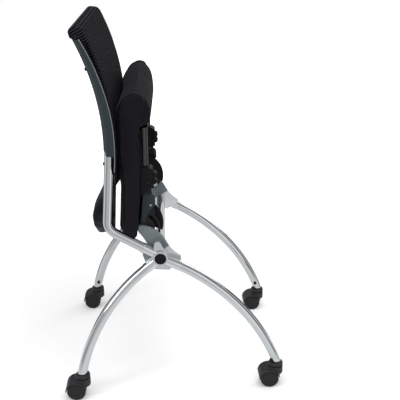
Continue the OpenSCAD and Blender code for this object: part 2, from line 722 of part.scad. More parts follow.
// Bracket: eye round the pivot, quadrant with the stop slot, arm to the rail
slot_r = pin_r + 0.5;
slot_a1 = -90 - stop_angle;
slot_a2 = slot_a1 + fold_travel;
quadrant_r = stop_r + slot_r + 5;
eye_r = 13;
arm_u = 0.40 * seat_depth;
arm_low = -0.62 * seat_rise;
function fan(r, a1, a2, n) = [for (i = [0:n]) r * dir(a1 + (a2 - a1) * i / n)];
slot_rim = 4;
quadrant_margin = arc_angle(slot_r + slot_rim, stop_r);
module quadrant_outline() {
    polygon(concat([[0, 0]], fan(quadrant_r, slot_a1 - quadrant_margin, slot_a2 + quadrant_margin, 24)));
}
module arm_outline() {
    polygon([
        [0, eye_r], [0.12 * seat_depth, eye_r * 0.4], [0.27 * seat_depth, rail_w + rail_r],
        [arm_u, rail_w + rail_r], [arm_u, rail_w - rail_r], [0.30 * seat_depth, arm_low * 0.85],
        [0.17 * seat_depth, arm_low], quadrant_r * dir(slot_a2 - quadrant_margin), [0, 0]
    ]);
}
module slot_sweep(y1, y2) {
    translate([0, y2, 0]) rotate([90, 0, 0]) rotate([0, 0, slot_a1]) rotate_extrude(angle = fold_travel, $fn = SWEEP_FN)
        translate([stop_r - slot_r, 0]) square([2 * slot_r, y2 - y1]);
    for (a = [slot_a1, slot_a2]) across(stop_r * cos(a), stop_r * sin(a), y1 - over, y2 + over, slot_r + hair);
}
module bracket(side) {
    color(BLACK) mirrored(side) seat_up() difference() {
        union() {
            across(0, 0, bracket_in, bracket_out, eye_r);
            plate(bracket_in, bracket_out) quadrant_outline();
            plate(bracket_in, bracket_out) arm_outline();
        }
        across(0, 0, bracket_in - over, bracket_out + over, bush_r);
        slot_sweep(bracket_in - over, bracket_out + over);
    }
}
module pivot_bracket_left() bracket("left");
module pivot_bracket_right() bracket("right");
module pivot_bushes() {
    color(NYLON) for (side = SIDES) mirrored(side) seat_up() difference() {
        union() {
            across(0, 0, bracket_in, bracket_out, bush_r);
            across(0, 0, bracket_out, bracket_out + bush_flange_t, bush_r + 3);
        }
        across(0, 0, bracket_in - over, fin_in, pin_r + run_fit);
    }
}
module headed_pin(p) {
    across(p[0], p[1], pin_in, pin_in + pin_head_t, pin_head_r);
    across(p[0], p[1], pin_in + pin_head_t, fin_in + pin_depth - gap, pin_r);
}
module pivot_pin_left() { color(STEEL) headed_pin(pivot); }
module pivot_pin_right() mirrored("right") pivot_pin_left();
module stop_pins() { color(STEEL) for (side = SIDES) mirrored(side) headed_pin(stop); }

// Covers over the rail ends, each with a screw, and the buffers under them
cover_u1 = 0.245 * seat_depth;
cover_u2 = 0.44 * seat_depth;
cover_in = rail_y - rail_r - 5;
cover_out = bracket_out + 4;
cover_low = -0.64 * seat_rise;
cover_top = -0.02 * seat_rise;
buffer_u1 = 0.285 * seat_depth;
buffer_u2 = 0.43 * seat_depth;
lobe_r = 7.5;
lobe_gap = 16.5;
screw_at = [0.34 * seat_depth, -0.40 * seat_rise];
module cover_outline() {
    polygon([
        [cover_u1, cover_top], [cover_u2 - 4, cover_top], [cover_u2, cover_top - 5],
        [cover_u2, cover_low + 8], [cover_u2 - 5, cover_low], [cover_u1 + 0.06 * seat_depth, cover_low]
    ]);
}
module cover(side) {
    color(TEAL) mirrored(side) seat_up() difference() {
        plate(cover_in, cover_out) cover_outline();
        translate([cover_u1 - over, rail_y, rail_w]) rotate([0, 90, 0])
            cylinder(r = rail_r + gap, h = seat_depth);
        translate([cover_u1 - over, bracket_in - gap, cover_low - over])
            cube([arm_u - cover_u1 + over + gap, bracket_t + 2 * gap, seat_rise * 2]);
        translate([buffer_u1 - gap, cover_in + 3 - gap, cover_low - over])
            cube([buffer_u2 - buffer_u1 + 2 * gap, bracket_in - 2 * gap - cover_in - 3, buffer_seat + over + gap]);
        across(screw_at[0], screw_at[1], bracket_out, cover_out + over, screw_r + push_fit);
    }
}
buffer_seat = 8;
module pivot_cover_left() cover("left");
module pivot_cover_right() cover("right");
module cover_screws() {
    color(STEEL) for (side = SIDES) mirrored(side) seat_up() {
        across(screw_at[0], screw_at[1], bracket_out + gap, cover_out, screw_r);
        across(screw_at[0], screw_at[1], cover_out, cover_out + screw_head_t, screw_head_r);
    }
}
module buffer(side) {
    mid = (buffer_u1 + buffer_u2) / 2;
    tip = cover_low - 2;
    color(BLACK) mirrored(side) seat_up() {
        difference() {
            plate(cover_in + 3, bracket_in - 3 * gap) {
                translate([buffer_u1, cover_low - 1]) square([buffer_u2 - buffer_u1, buffer_seat]);
                for (k = [-1, 1]) translate([mid + k * lobe_gap / 2, tip]) circle(lobe_r);
            }
            translate([buffer_u1 - over, rail_y, rail_w]) rotate([0, 90, 0])
                cylinder(r = rail_r + gap, h = seat_depth);
        }
    }
}
module rail_bumper_left() buffer("left");
module rail_bumper_right() buffer("right");

// Casters: a swivelling hood on a stem, and two wheels on one axle
wheel_r = wheel_d / 2;
axle_r = axle_d / 2;
web_t = 13;
wheel_gap = 0.5;
hood_wall = 2.3;
hood_clear = 1.2;
hood_r = wheel_r + hood_clear + hood_wall;
hood_boss_r = 9;
hood_boss_sink = 2;
hood_top_z = socket_low_z - 3;
nose = [43.5, 8];
nose_r = 5;
hood_tilt = 10;
wheel_in = web_t / 2 + wheel_gap;
skirt_in = wheel_in + wheel_w + 1;
stem_flange_r = 7.5;
stem_down = 12;
module place(corner) {
    x = corner[0] == "f" ? front_reach : -rear_reach;
    y = corner[0] == "f" ? tube_y : rear_y;
    translate([x, corner[1] == "l" ? y : -y, 0]) children();
}
module stem(corner) {
    color(STEEL) place(corner) {
        cylinder_at(stem_r, hood_top_z - stem_down, socket_low_z + stem_up);
        cylinder_at(stem_flange_r, hood_top_z, socket_low_z - gap);
    }
}
module hood(corner) {
    half = hood_w / 2;
    back = trail + hood_r;
    plan = [
        [-back, -0.85 * half], [-back + 0.15 * half, -half], [-0.2 * trail, -half], [0.8 * trail, -0.75 * half],
        [1.45 * trail, -0.38 * half], [1.45 * trail, 0.38 * half], [0.8 * trail, 0.75 * half],
        [-0.2 * trail, half], [-back + 0.15 * half, half], [-back, 0.85 * half]
    ];
    color(BLACK) place(corner) difference() {
        union() {
            intersection() {
                difference() {
                    plate(-half, half) translate([-trail, wheel_r]) teardrop(hood_r, nose, nose_r);
                    for (k = [-1, 1]) mirror([0, k < 0 ? 1 : 0, 0])
                        across(-trail, wheel_r, web_t / 2 - gap, skirt_in, wheel_r + hood_clear);
                    translate([-trail, 0, wheel_r]) rotate([0, -hood_tilt, 0]) translate([-far / 2, -far / 2, -far])
                        cube([far, far, far]);
                }
                linear_extrude(far) polygon(plan);
            }
            plate(-web_t / 2, web_t / 2) translate([-trail, wheel_r]) {
                circle(axle_r + 5);
                translate([-axle_r - 5, 0]) square([trail + 9, wheel_r * 0.6]);
            }
            cylinder_at(hood_boss_r, wheel_d - hood_boss_sink, hood_top_z);
        }
        across(-trail, wheel_r, -half, half, axle_r + run_fit);
        cylinder_at(stem_r + run_fit, hood_top_z - stem_down - gap, hood_top_z + over);
    }
}
module cylinder_at(r, z1, z2) {
    translate([0, 0, z1]) cylinder(r = r, h = z2 - z1);
}
module axle(corner) {
    color(STEEL) place(corner) across(-trail, wheel_r, -wheel_in - wheel_w + 3, wheel_in + wheel_w - 3, axle_r);
}
tread_r = 3;
hub_dish = 3;
module wheel(corner, k) {
    color(BLACK) place(corner) mirror([0, k < 0 ? 1 : 0, 0]) translate([-trail, wheel_in, wheel_r]) rotate([-90, 0, 0])
        rotate_extrude() polygon([
            [axle_r + run_fit, 0], [wheel_r - tread_r, 0], [wheel_r - tread_r * 0.3, tread_r * 0.3],
            [wheel_r, tread_r], [wheel_r, wheel_w - tread_r], [wheel_r - tread_r * 0.3, wheel_w - tread_r * 0.3],
            [wheel_r - tread_r, wheel_w], [wheel_r * 0.72, wheel_w], [wheel_r * 0.68, wheel_w - hub_dish],
            [wheel_r * 0.3, wheel_w - hub_dish], [wheel_r * 0.26, wheel_w - 1], [axle_r + run_fit, wheel_w - 1]
        ]);
}
module front_left_stem() stem("fl");
module front_left_hood() hood("fl");
module front_left_axle() axle("fl");
module front_left_wheel_inner() wheel("fl", -1);
module front_left_wheel_outer() wheel("fl", 1);
module front_right_stem() stem("fr");
module front_right_hood() hood("fr");
module front_right_axle() axle("fr");
module front_right_wheel_inner() wheel("fr", 1);
module front_right_wheel_outer() wheel("fr", -1);
module rear_left_stem() stem("rl");
module rear_left_hood() hood("rl");
module rear_left_axle() axle("rl");
module rear_left_wheel_inner() wheel("rl", -1);
module rear_left_wheel_outer() wheel("rl", 1);
module rear_right_stem() stem("rr");
module rear_right_hood() hood("rr");
module rear_right_axle() axle("rr");
module rear_right_wheel_inner() wheel("rr", 1);
module rear_right_wheel_outer() wheel("rr", -1);

hub_left();
hub_right();
cross_tube();
hub_bolts();
hub_cap_left();
hub_cap_right();
front_leg_left();
front_leg_right();
rear_leg_left();
rear_leg_right();
leg_stops();
upright_left();
upright_right();
stop_pins();
pivot_pin_left();
pivot_pin_right();
upright_sleeve_left();
upright_sleeve_right();
back_frame();
back_mesh();
lumbar_shell();
back_screws();
front_left_socket();
front_right_socket();
rear_left_socket();
rear_right_socket();
seat_board();
seat_cushion();
seat_shell();
seat_rail_left();
seat_rail_right();
pivot_bracket_left();
pivot_bracket_right();
pivot_bushes();
pivot_cover_left();
pivot_cover_right();
cover_screws();
rail_bumper_left();
rail_bumper_right();
front_left_stem();
front_left_hood();
front_left_axle();
front_left_wheel_inner();
front_left_wheel_outer();
front_right_stem();
front_right_hood();
front_right_axle();
front_right_wheel_inner();
front_right_wheel_outer();
rear_left_stem();
rear_left_hood();
rear_left_axle();
rear_left_wheel_inner();
rear_left_wheel_outer();
rear_right_stem();
rear_right_hood();
rear_right_axle();
rear_right_wheel_inner();
rear_right_wheel_outer();
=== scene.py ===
# Nesting chair: four-caster frame in chromed tube, flip-up seat and mesh back.
# +X is the front, +Y the sitter's left, +Z up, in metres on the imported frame.
import json
import math

import bmesh
import bpy
from mathutils import Matrix, Vector

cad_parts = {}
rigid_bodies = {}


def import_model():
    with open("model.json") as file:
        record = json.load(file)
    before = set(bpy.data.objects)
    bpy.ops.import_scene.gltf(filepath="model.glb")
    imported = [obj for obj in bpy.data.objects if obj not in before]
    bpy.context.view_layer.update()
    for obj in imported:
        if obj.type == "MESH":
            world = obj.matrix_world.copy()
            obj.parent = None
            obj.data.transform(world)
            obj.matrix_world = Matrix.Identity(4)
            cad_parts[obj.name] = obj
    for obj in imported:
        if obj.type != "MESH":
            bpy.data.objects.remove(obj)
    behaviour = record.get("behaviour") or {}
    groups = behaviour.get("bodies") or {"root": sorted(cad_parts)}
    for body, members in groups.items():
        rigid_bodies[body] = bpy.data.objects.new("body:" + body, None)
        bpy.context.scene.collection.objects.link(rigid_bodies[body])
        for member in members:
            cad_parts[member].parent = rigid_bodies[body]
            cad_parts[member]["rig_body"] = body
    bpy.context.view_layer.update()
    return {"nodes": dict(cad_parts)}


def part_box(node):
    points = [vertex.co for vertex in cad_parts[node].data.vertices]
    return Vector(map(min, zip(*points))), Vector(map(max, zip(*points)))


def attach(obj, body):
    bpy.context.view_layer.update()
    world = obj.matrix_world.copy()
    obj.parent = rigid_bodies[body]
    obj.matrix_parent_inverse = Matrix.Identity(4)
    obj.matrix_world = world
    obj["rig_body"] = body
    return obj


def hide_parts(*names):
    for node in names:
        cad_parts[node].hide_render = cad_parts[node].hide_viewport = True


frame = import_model()

# Camera: the chair is seen from the sitter's right, from a little over eye
# level of a seated person, with the lens that the casters' spread asks for.
SENSOR_MM = 36
LENS_MM = 64.8
LOOK_DOWN = 21.3
LOOK_TURN = 2.8
EYE = (-0.018, -1.890, 1.205)
camera = bpy.data.objects.new("camera", bpy.data.cameras.new("camera"))
camera.data.sensor_width = SENSOR_MM
camera.data.lens = LENS_MM
camera.location = EYE
camera.rotation_euler = (math.radians(90 - LOOK_DOWN), 0, -math.radians(LOOK_TURN))
bpy.context.scene.collection.objects.link(camera)
bpy.context.scene.camera = camera
bpy.context.scene.view_settings.view_transform = "Standard"


# Studio floor: a sheet of pale laminate that the casters stand on. It shows
# white to the camera and takes the chair's shadow, and what the chrome mirrors
# of it farther out is the foot of the room's walls.
def linear(code):
    """Linear colour of an sRGB hex value."""
    parts = [int(code[i:i + 2], 16) / 255 for i in (0, 2, 4)]
    return [p / 12.92 if p <= 0.04045 else ((p + 0.055) / 1.055) ** 2.4 for p in parts] + [1]


def add(material, kind, inputs=None, links=None, **settings):
    """A shader node with its settings, socket values and links."""
    made = material.node_tree.nodes.new("ShaderNode" + kind)
    for name, value in settings.items():
        setattr(made, name, value)
    for key, value in (inputs or {}).items():
        made.inputs[key].default_value = value
    for key, source in (links or {}).items():
        material.node_tree.links.new(source, made.inputs[key])
    return made


def blank(name):
    """An empty node material and its output node."""
    made = bpy.data.materials.new(name)
    made.use_nodes = True
    made.node_tree.nodes.clear()
    return made, add(made, "OutputMaterial")


# The room's walls, as pairs of compass bearing in degrees and grey.
WALLS = ((-180, 0.90), (-162, 0.90), (-156, 0.42), (-132, 0.42), (-122, 0.70),
         (-72, 0.74), (-66, 1.15), (-42, 1.15), (-36, 0.30), (-14, 0.30),
         (-9, 0.90), (16, 0.90), (20, 0.02), (58, 0.02), (63, 0.85),
         (112, 0.85), (117, 0.03), (150, 0.03), (156, 0.90), (180, 0.90))


def room_by_bearing(material, where):
    """The walls' grey in a direction, for what the chrome shows, and its height."""
    axes = add(material, "SeparateXYZ", links={"Vector": where})
    turn = add(material, "Math", links={0: axes.outputs["Y"], 1: axes.outputs["X"]},
               operation="ARCTAN2")
    turn = add(material, "MapRange", {"From Min": -math.pi, "From Max": math.pi},
               {"Value": turn.outputs[0]})
    walls = add(material, "ValToRGB", links={"Fac": turn.outputs[0]})
    stops = walls.color_ramp.elements
    for i, (degrees, grey) in enumerate(WALLS):
        stop = stops[i] if i < 2 else stops.new(1.0)
        stop.position, stop.color = 0.5 + degrees / 360, (grey, grey, grey, 1)
    return walls.outputs["Color"], axes.outputs["Z"]


FLOOR_SIZE = 12
NEAR_FLOOR = 0.55
FAR_FLOOR = 0.95
SHOWN_LIFT = 0.16
FADE_START = 0.7
FADE_END = 2.6
laminate, out = blank("pale_laminate_floor")
grain = add(laminate, "TexNoise", {"Scale": 90, "Detail": 4},
            {"Vector": add(laminate, "TexCoord").outputs["Object"]})
tone = add(laminate, "MixRGB", {"Color1": linear("EDEDEE"), "Color2": linear("F4F4F4")},
           {"Fac": grain.outputs["Fac"]})
matte = add(laminate, "BsdfDiffuse", links={"Color": tone.outputs["Color"]})
path = add(laminate, "LightPath")
seen = add(laminate, "Math", links={0: path.outputs["Is Camera Ray"],
                                    1: path.outputs["Is Transmission Ray"]},
           operation="MAXIMUM")
reach = add(laminate, "VectorMath", links={0: add(laminate, "TexCoord").outputs["Object"]},
            operation="LENGTH")
fade = add(laminate, "MapRange", {"From Min": FADE_START, "From Max": FADE_END,
                                  "To Min": SHOWN_LIFT, "To Max": 1.0},
           {"Value": reach.outputs["Value"]})
lift = add(laminate, "Math", links={0: seen.outputs[0], 1: fade.outputs[0]},
           operation="MULTIPLY")
glow = add(laminate, "Emission", {"Color": (1, 1, 1, 1)}, {"Strength": lift.outputs[0]})
both = add(laminate, "AddShader", links={0: matte.outputs[0], 1: glow.outputs[0]})
walls, _ = room_by_bearing(laminate, add(laminate, "TexCoord").outputs["Object"])
mirrored = add(laminate, "Emission", links={"Color": walls})
far = add(laminate, "MapRange", {"From Min": NEAR_FLOOR, "From Max": FAR_FLOOR},
          {"Value": reach.outputs["Value"]})
far = add(laminate, "Math", links={0: far.outputs[0], 1: path.outputs["Is Glossy Ray"]},
          operation="MULTIPLY")
shown = add(laminate, "MixShader", links={0: far.outputs[0], 1: both.outputs[0],
                                          2: mirrored.outputs[0]})
laminate.node_tree.links.new(shown.outputs[0], out.inputs["Surface"])
bpy.ops.object.select_all(action="DESELECT")
bpy.ops.mesh.primitive_plane_add(size=FLOOR_SIZE)
floor = bpy.context.object
floor.name = "studio_floor"
floor.data.materials.append(laminate)

# Studio light: one broad soft box overhead, a tall one at the camera's left and
# a weaker one behind on the right, in a white surround. The chrome shows a room
# of white, grey and black walls by compass bearing, under a grey ceiling.
SURROUND_LIGHT = 0.62
WALL_TOP = (0.44, 0.56)
CEILING_EDGE = (0.82, 0.90)
CEILING_GREY = (0.42, 1.1)
world = bpy.data.worlds.new("studio")
world.use_nodes = True
world.node_tree.nodes.clear()
path = add(world, "LightPath")
seen = add(world, "Math", links={0: path.outputs["Is Camera Ray"],
                                 1: path.outputs["Is Transmission Ray"]},
           operation="MAXIMUM")
level = add(world, "MapRange", {"To Min": SURROUND_LIGHT, "To Max": 1.0},
            {"Value": seen.outputs[0]})
walls, height = room_by_bearing(world, add(world, "TexCoord").outputs["Generated"])
ceiling = add(world, "MapRange", {"From Min": CEILING_EDGE[0], "From Max": CEILING_EDGE[1],
                                  "To Min": CEILING_GREY[0], "To Max": CEILING_GREY[1]},
              {"Value": height})
above = add(world, "MapRange", {"From Min": WALL_TOP[0], "From Max": WALL_TOP[1]},
            {"Value": height})
room = add(world, "MixRGB", links={"Fac": above.outputs[0], "Color1": walls,
                                   "Color2": ceiling.outputs[0]})
shown = add(world, "MixRGB", links={"Fac": path.outputs["Is Glossy Ray"],
                                    "Color1": level.outputs[0],
                                    "Color2": room.outputs["Color"]})
sky = add(world, "Background", links={"Color": shown.outputs["Color"]})
world.node_tree.links.new(sky.outputs[0], add(world, "OutputWorld").inputs["Surface"])
bpy.context.scene.world = world
AIM = Vector((0, 0, 0.5))
for name, place, width, height, watts in (
        ("overhead_box", (0.2, -0.6, 2.6), 1.6, 1.6, 30),
        ("left_box", (-2.2, -1.6, 1.5), 0.7, 1.8, 22),
        ("back_box", (1.9, 1.7, 1.7), 0.8, 1.4, 14)):
    lamp = bpy.data.objects.new(name, bpy.data.lights.new(name, "AREA"))
    lamp.data.shape = "RECTANGLE"
    lamp.data.size, lamp.data.size_y = width, height
    lamp.data.energy = watts
    lamp.location = place
    lamp.rotation_euler = (AIM - Vector(place)).to_track_quat("-Z", "Y").to_euler()
    bpy.context.scene.collection.objects.link(lamp)

# Black flags: felt-covered boards that stand outside the picture, behind the
# chair, so that the chromed tubes show dark lines along their edges.
felt, out = blank("black_felt")
matte = add(felt, "BsdfDiffuse", {"Color": linear("050505")})
felt.node_tree.links.new(matte.outputs[0], out.inputs["Surface"])
for name, place, size in (
        ("flag_left", (-2.15, 2.6, 1.3), (0.50, 3.4)),
        ("flag_right", (1.95, 2.6, 1.3), (0.42, 3.4)),
        ("flag_top", (-0.1, 2.5, 3.2), (4.6, 0.45)),
        ("flag_front", (2.9, -0.9, 1.1), (0.5, 2.4)),
        ("flag_rear", (-2.9, 0.6, 1.1), (0.45, 2.4))):
    bpy.ops.object.select_all(action="DESELECT")
    bpy.ops.mesh.primitive_plane_add(size=1)
    flag = bpy.context.object
    flag.name = name
    flag.data.transform(Matrix.Diagonal((size[0], size[1], 1, 1)))
    flag.data.transform((AIM - Vector(place)).to_track_quat("Z", "Y").to_matrix().to_4x4())
    flag.data.transform(Matrix.Translation(place))
    flag.data.materials.append(felt)
    flag.visible_camera = flag.visible_diffuse = flag.visible_shadow = False

# Legs, uprights and cross tube: steel tube bent cold, polished and chromed,
# pushed on the castings' spigots and held by glue and crimping.
SIDES = ("left", "right")
CORNERS = ("front_left", "front_right", "rear_left", "rear_right")


def principled(name, colour, rough, **values):
    """A node material with one principled shader, and its object coordinates."""
    made, end = blank(name)
    shader = add(made, "BsdfPrincipled", {"Base Color": linear(colour), "Roughness": rough})
    for key, value in values.items():
        shader.inputs[key.replace("_", " ")].default_value = value
    made.node_tree.links.new(shader.outputs[0], end.inputs["Surface"])
    return made, shader, add(made, "TexCoord").outputs["Object"]


def dress(material, *names):
    """The finish of CAD nodes: their only material becomes this one."""
    for name in names:
        piece = frame["nodes"][name]
        piece.data.materials.clear()
        piece.data.materials.append(material)


chrome, shader, where = principled("chromed_steel_tube", "C4C7C9", 0.05, Metallic=1.0)
smear = add(chrome, "TexNoise", {"Scale": 22, "Detail": 5}, {"Vector": where})
haze = add(chrome, "MapRange", {"To Min": 0.035, "To Max": 0.10},
           {"Value": smear.outputs["Fac"]})
chrome.node_tree.links.new(haze.outputs[0], shader.inputs["Roughness"])
dress(chrome, "cross_tube", *[part + "_" + side for side in SIDES
                              for part in ("front_leg", "rear_leg", "upright")])

# Hub castings: pressure die-cast aluminium, tumbled and lacquered grey, with
# the raised pad round the boss and the web under it polished after casting.
PAD_FACE = 0.2205
PAD_EDGE = 0.0006
WEB_ACROSS = -0.5
WEB_RISE = 0.86
WEB_OFF = (0.012, 0.010)
cast, shader, where = principled("lacquered_cast_aluminium", "70787A", 0.42, Metallic=0.25)
split = add(cast, "SeparateXYZ", links={"Vector": where})
sideways = add(cast, "Math", links={0: split.outputs["Y"]}, operation="ABSOLUTE")
pad = add(cast, "MapRange", {"From Min": PAD_FACE - PAD_EDGE, "From Max": PAD_FACE + PAD_EDGE},
          {"Value": sideways.outputs[0]})
low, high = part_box("hub_cap_right")
across = add(cast, "Math", {1: (low.x + high.x) / 2}, {0: split.outputs["X"]},
             operation="SUBTRACT")
rise = add(cast, "Math", {1: (low.z + high.z) / 2}, {0: split.outputs["Z"]},
           operation="SUBTRACT")
across = add(cast, "Math", {1: WEB_ACROSS}, {0: across.outputs[0]}, operation="MULTIPLY")
off = add(cast, "Math", {1: WEB_RISE}, {0: rise.outputs[0], 2: across.outputs[0]},
          operation="MULTIPLY_ADD")
web = add(cast, "MapRange", {"From Min": WEB_OFF[0], "From Max": WEB_OFF[1]},
          {"Value": off.outputs[0]})
pad = add(cast, "Math", links={0: pad.outputs[0], 1: web.outputs[0]}, operation="MAXIMUM")
grit = add(cast, "TexNoise", {"Scale": 900, "Detail": 3}, {"Vector": where})
bump = add(cast, "Bump", {"Strength": 0.12, "Distance": 0.0004},
           {"Height": grit.outputs["Fac"]})
hue = add(cast, "MixRGB", {"Color1": linear("70787A"), "Color2": linear("CDD0D2")},
          {"Fac": pad.outputs[0]})
shine = add(cast, "MapRange", {"To Min": 0.25, "To Max": 1.0}, {"Value": pad.outputs[0]})
matt = add(cast, "MapRange", {"To Min": 0.42, "To Max": 0.07}, {"Value": pad.outputs[0]})
for key, source in (("Base Color", hue.outputs["Color"]), ("Metallic", shine.outputs[0]),
                    ("Roughness", matt.outputs[0]), ("Normal", bump.outputs[0])):
    cast.node_tree.links.new(source, shader.inputs[key])
dress(cast, "hub_left", "hub_right")

# Seat rails: the same chromed tube, fixed under the seat pan, coloured near black as a
# painted reflection of the dark seat above them; their gloss shows the room as thin lines.
chrome_painted_dark, shader, where = principled("chromed_tube_painted_dark_reflection", "0B0B0C", 0.14,
                                        Specular_IOR_Level=0.7)
smear = add(chrome_painted_dark, "TexNoise", {"Scale": 22, "Detail": 5}, {"Vector": where})
haze = add(chrome_painted_dark, "MapRange", {"To Min": 0.10, "To Max": 0.20},
           {"Value": smear.outputs["Fac"]})
chrome_painted_dark.node_tree.links.new(haze.outputs[0], shader.inputs["Roughness"])
dress(chrome_painted_dark, "seat_rail_left", "seat_rail_right")

# Bolts, pins, stems and axles: machined steel, zinc plated, with a faint drawn
# grain along them.
zinc, shader, where = principled("zinc_plated_steel", "B9BBBA", 0.28, Metallic=1.0)
drawn = add(zinc, "TexNoise", {"Scale": 600, "Detail": 2}, {"Vector": where})
bump = add(zinc, "Bump", {"Strength": 0.08, "Distance": 0.0002},
           {"Height": drawn.outputs["Fac"]})
zinc.node_tree.links.new(bump.outputs[0], shader.inputs["Normal"])
dress(zinc, "hub_bolts", "pivot_pin_left", "pivot_pin_right", "stop_pins",
      *[corner + "_" + part for corner in CORNERS for part in ("stem", "axle")])

# Screws of the back and the pivot covers: steel, blackened in an oxide bath,
# driven into the plastic pieces that they hold.
oxide, shader, where = principled("blackened_steel_screw", "121213", 0.4, Metallic=0.6)
mottle = add(oxide, "TexNoise", {"Scale": 700, "Detail": 2}, {"Vector": where})
haze = add(oxide, "MapRange", {"To Min": 0.32, "To Max": 0.50},
           {"Value": mottle.outputs["Fac"]})
oxide.node_tree.links.new(haze.outputs[0], shader.inputs["Roughness"])
dress(oxide, "back_screws", "cover_screws")

# Hub caps, sockets, pivot covers, seat pan, back frame and lower shell: filled
# nylon and polypropylene, injection moulded black with a fine eroded grain.
moulded, shader, where = principled("moulded_black_polypropylene", "111114", 0.45,
                                    Specular_IOR_Level=0.12)
grain = add(moulded, "TexNoise", {"Scale": 1100, "Detail": 3}, {"Vector": where})
bump = add(moulded, "Bump", {"Strength": 0.18, "Distance": 0.0003},
           {"Height": grain.outputs["Fac"]})
moulded.node_tree.links.new(bump.outputs[0], shader.inputs["Normal"])
dress(moulded, "hub_cap_left", "hub_cap_right", "seat_shell", "pivot_cover_left",
      "pivot_cover_right", "back_frame", "lumbar_shell",
      *[corner + "_" + part for corner in CORNERS for part in ("socket", "hood")])

# Sleeves on the uprights: polypropylene moulded dark teal grey, pushed over the
# tube and screwed through the back frame.
teal, shader, where = principled("moulded_teal_grey_polypropylene", "2A3335", 0.46,
                                 Specular_IOR_Level=0.2)
grain = add(teal, "TexNoise", {"Scale": 900, "Detail": 3}, {"Vector": where})
bump = add(teal, "Bump", {"Strength": 0.15, "Distance": 0.0003},
           {"Height": grain.outputs["Fac"]})
teal.node_tree.links.new(bump.outputs[0], shader.inputs["Normal"])
dress(teal, "upright_sleeve_left", "upright_sleeve_right")

# Pivot brackets: laser-cut 4 mm steel plate, powder coated satin black, which
# gives a fine orange-peel skin.
coated, shader, where = principled("powder_coated_steel_plate", "0E0F11", 0.36,
                                   Specular_IOR_Level=0.25)
peel = add(coated, "TexNoise", {"Scale": 420, "Detail": 2}, {"Vector": where})
bump = add(coated, "Bump", {"Strength": 0.2, "Distance": 0.0004},
           {"Height": peel.outputs["Fac"]})
coated.node_tree.links.new(bump.outputs[0], shader.inputs["Normal"])
dress(coated, "pivot_bracket_left", "pivot_bracket_right")

# Pivot bushes: flanged sleeves of acetal, turned white and pressed in the
# brackets' eyes.
acetal = principled("turned_white_acetal", "DAD8CF", 0.35)[0]
dress(acetal, "pivot_bushes")

# Seat board: beech plywood, sawn and stained black, which the cushion's cover
# is wrapped round.
ply, shader, where = principled("black_stained_beech_plywood", "1A1714", 0.6,
                                Specular_IOR_Level=0.2)
stretch = add(ply, "Mapping", {"Scale": (6, 60, 60)}, {"Vector": where})
figure = add(ply, "TexNoise", {"Scale": 4, "Detail": 6}, {"Vector": stretch.outputs[0]})
hue = add(ply, "MixRGB", {"Color1": linear("14110E"), "Color2": linear("241E18")},
          {"Fac": figure.outputs["Fac"]})
ply.node_tree.links.new(hue.outputs["Color"], shader.inputs["Base Color"])
dress(ply, "seat_board")

# Rail buffers and leg stops: natural rubber moulded black and dull, fixed under
# the rails and inside the legs.
rubber, shader, where = principled("moulded_black_rubber", "0F0F10", 0.6,
                                   Specular_IOR_Level=0.2)
bloom = add(rubber, "TexNoise", {"Scale": 160, "Detail": 4}, {"Vector": where})
hue = add(rubber, "MixRGB", {"Color1": linear("0D0D0E"), "Color2": linear("19191A")},
          {"Fac": bloom.outputs["Fac"]})
rubber.node_tree.links.new(hue.outputs["Color"], shader.inputs["Base Color"])
dress(rubber, "rail_bumper_left", "rail_bumper_right", "leg_stops")

# Caster wheels: black nylon moulded in one with a dished web and a worn tread,
# two on each axle.
nylon, shader, where = principled("moulded_black_nylon", "161618", 0.4,
                                  Specular_IOR_Level=0.25)
worn = add(nylon, "TexNoise", {"Scale": 240, "Detail": 4}, {"Vector": where})
hue = add(nylon, "MixRGB", {"Color1": linear("131315"), "Color2": linear("202022")},
          {"Fac": worn.outputs["Fac"]})
nylon.node_tree.links.new(hue.outputs["Color"], shader.inputs["Base Color"])
dress(nylon, *[corner + "_wheel_" + place for corner in CORNERS
               for place in ("inner", "outer")])

# Back cover: black polyester warp knit with a cord every 6 mm across it, sewn
# as a bag and pulled over the whole back frame, which it shows as soft edges.
BACK_CENTRE = (-0.76077, 0.69431)
FRONT_R = 0.6225
REAR_R = 0.6188
LIP_R = 0.5905
BACK_HALF = 0.238
LOW_Z = 0.6195
HIGH_Z = 0.977
CORNER = 0.026
SIDE_WIDTH = 0.010
SIDE_THIN = 0.97
LIP_KEPT = 0.12
CORD_PITCH = 0.0062
CORD_LIFT = 0.0011
CORD_SHARP = 1.5
FACE_COUNT = 380
REAR_COUNT = 24
HEM = 0.002
SHOULDER = 0.007
TAIL = 0.009
UNDER_DROP = 0.0095
SLEEVE_END = 26.15
SLEEVE_FROM = 0.195
BETWEEN_SLEEVES = 0.35
HEM_FOLD = 0.003
REAR_FOLD = 0.001
knit, shader, where = principled("black_polyester_mesh", "0C0B0D", 0.75,
                                 Specular_IOR_Level=0.02)
fine = add(knit, "Mapping", {"Scale": (500, 900, 500)}, {"Vector": where})
loops = add(knit, "TexNoise", {"Scale": 1, "Detail": 2}, {"Vector": fine.outputs[0]})
bump = add(knit, "Bump", {"Strength": 0.4, "Distance": 0.0006},
           {"Height": loops.outputs["Fac"]})
axes = add(knit, "SeparateXYZ", links={"Vector": where})
along = add(knit, "Math", {1: -BACK_CENTRE[0]}, {0: axes.outputs["X"]}, operation="ADD")
rise = add(knit, "Math", {1: -BACK_CENTRE[1]}, {0: axes.outputs["Z"]}, operation="ADD")
turn = add(knit, "Math", links={0: rise.outputs[0], 1: along.outputs[0]},
           operation="ARCTAN2")
phase = add(knit, "Math", {1: 2 * math.pi * FRONT_R / CORD_PITCH}, {0: turn.outputs[0]},
            operation="MULTIPLY")
# The cords' crests are painted lighter than the yarn between them: a painted highlight along
# each cord.
cord = add(knit, "Math", links={0: phase.outputs[0]}, operation="COSINE")
painted_cord_highlight = add(knit, "MapRange", {"From Min": 0.2, "From Max": 1.0}, {"Value": cord.outputs[0]})
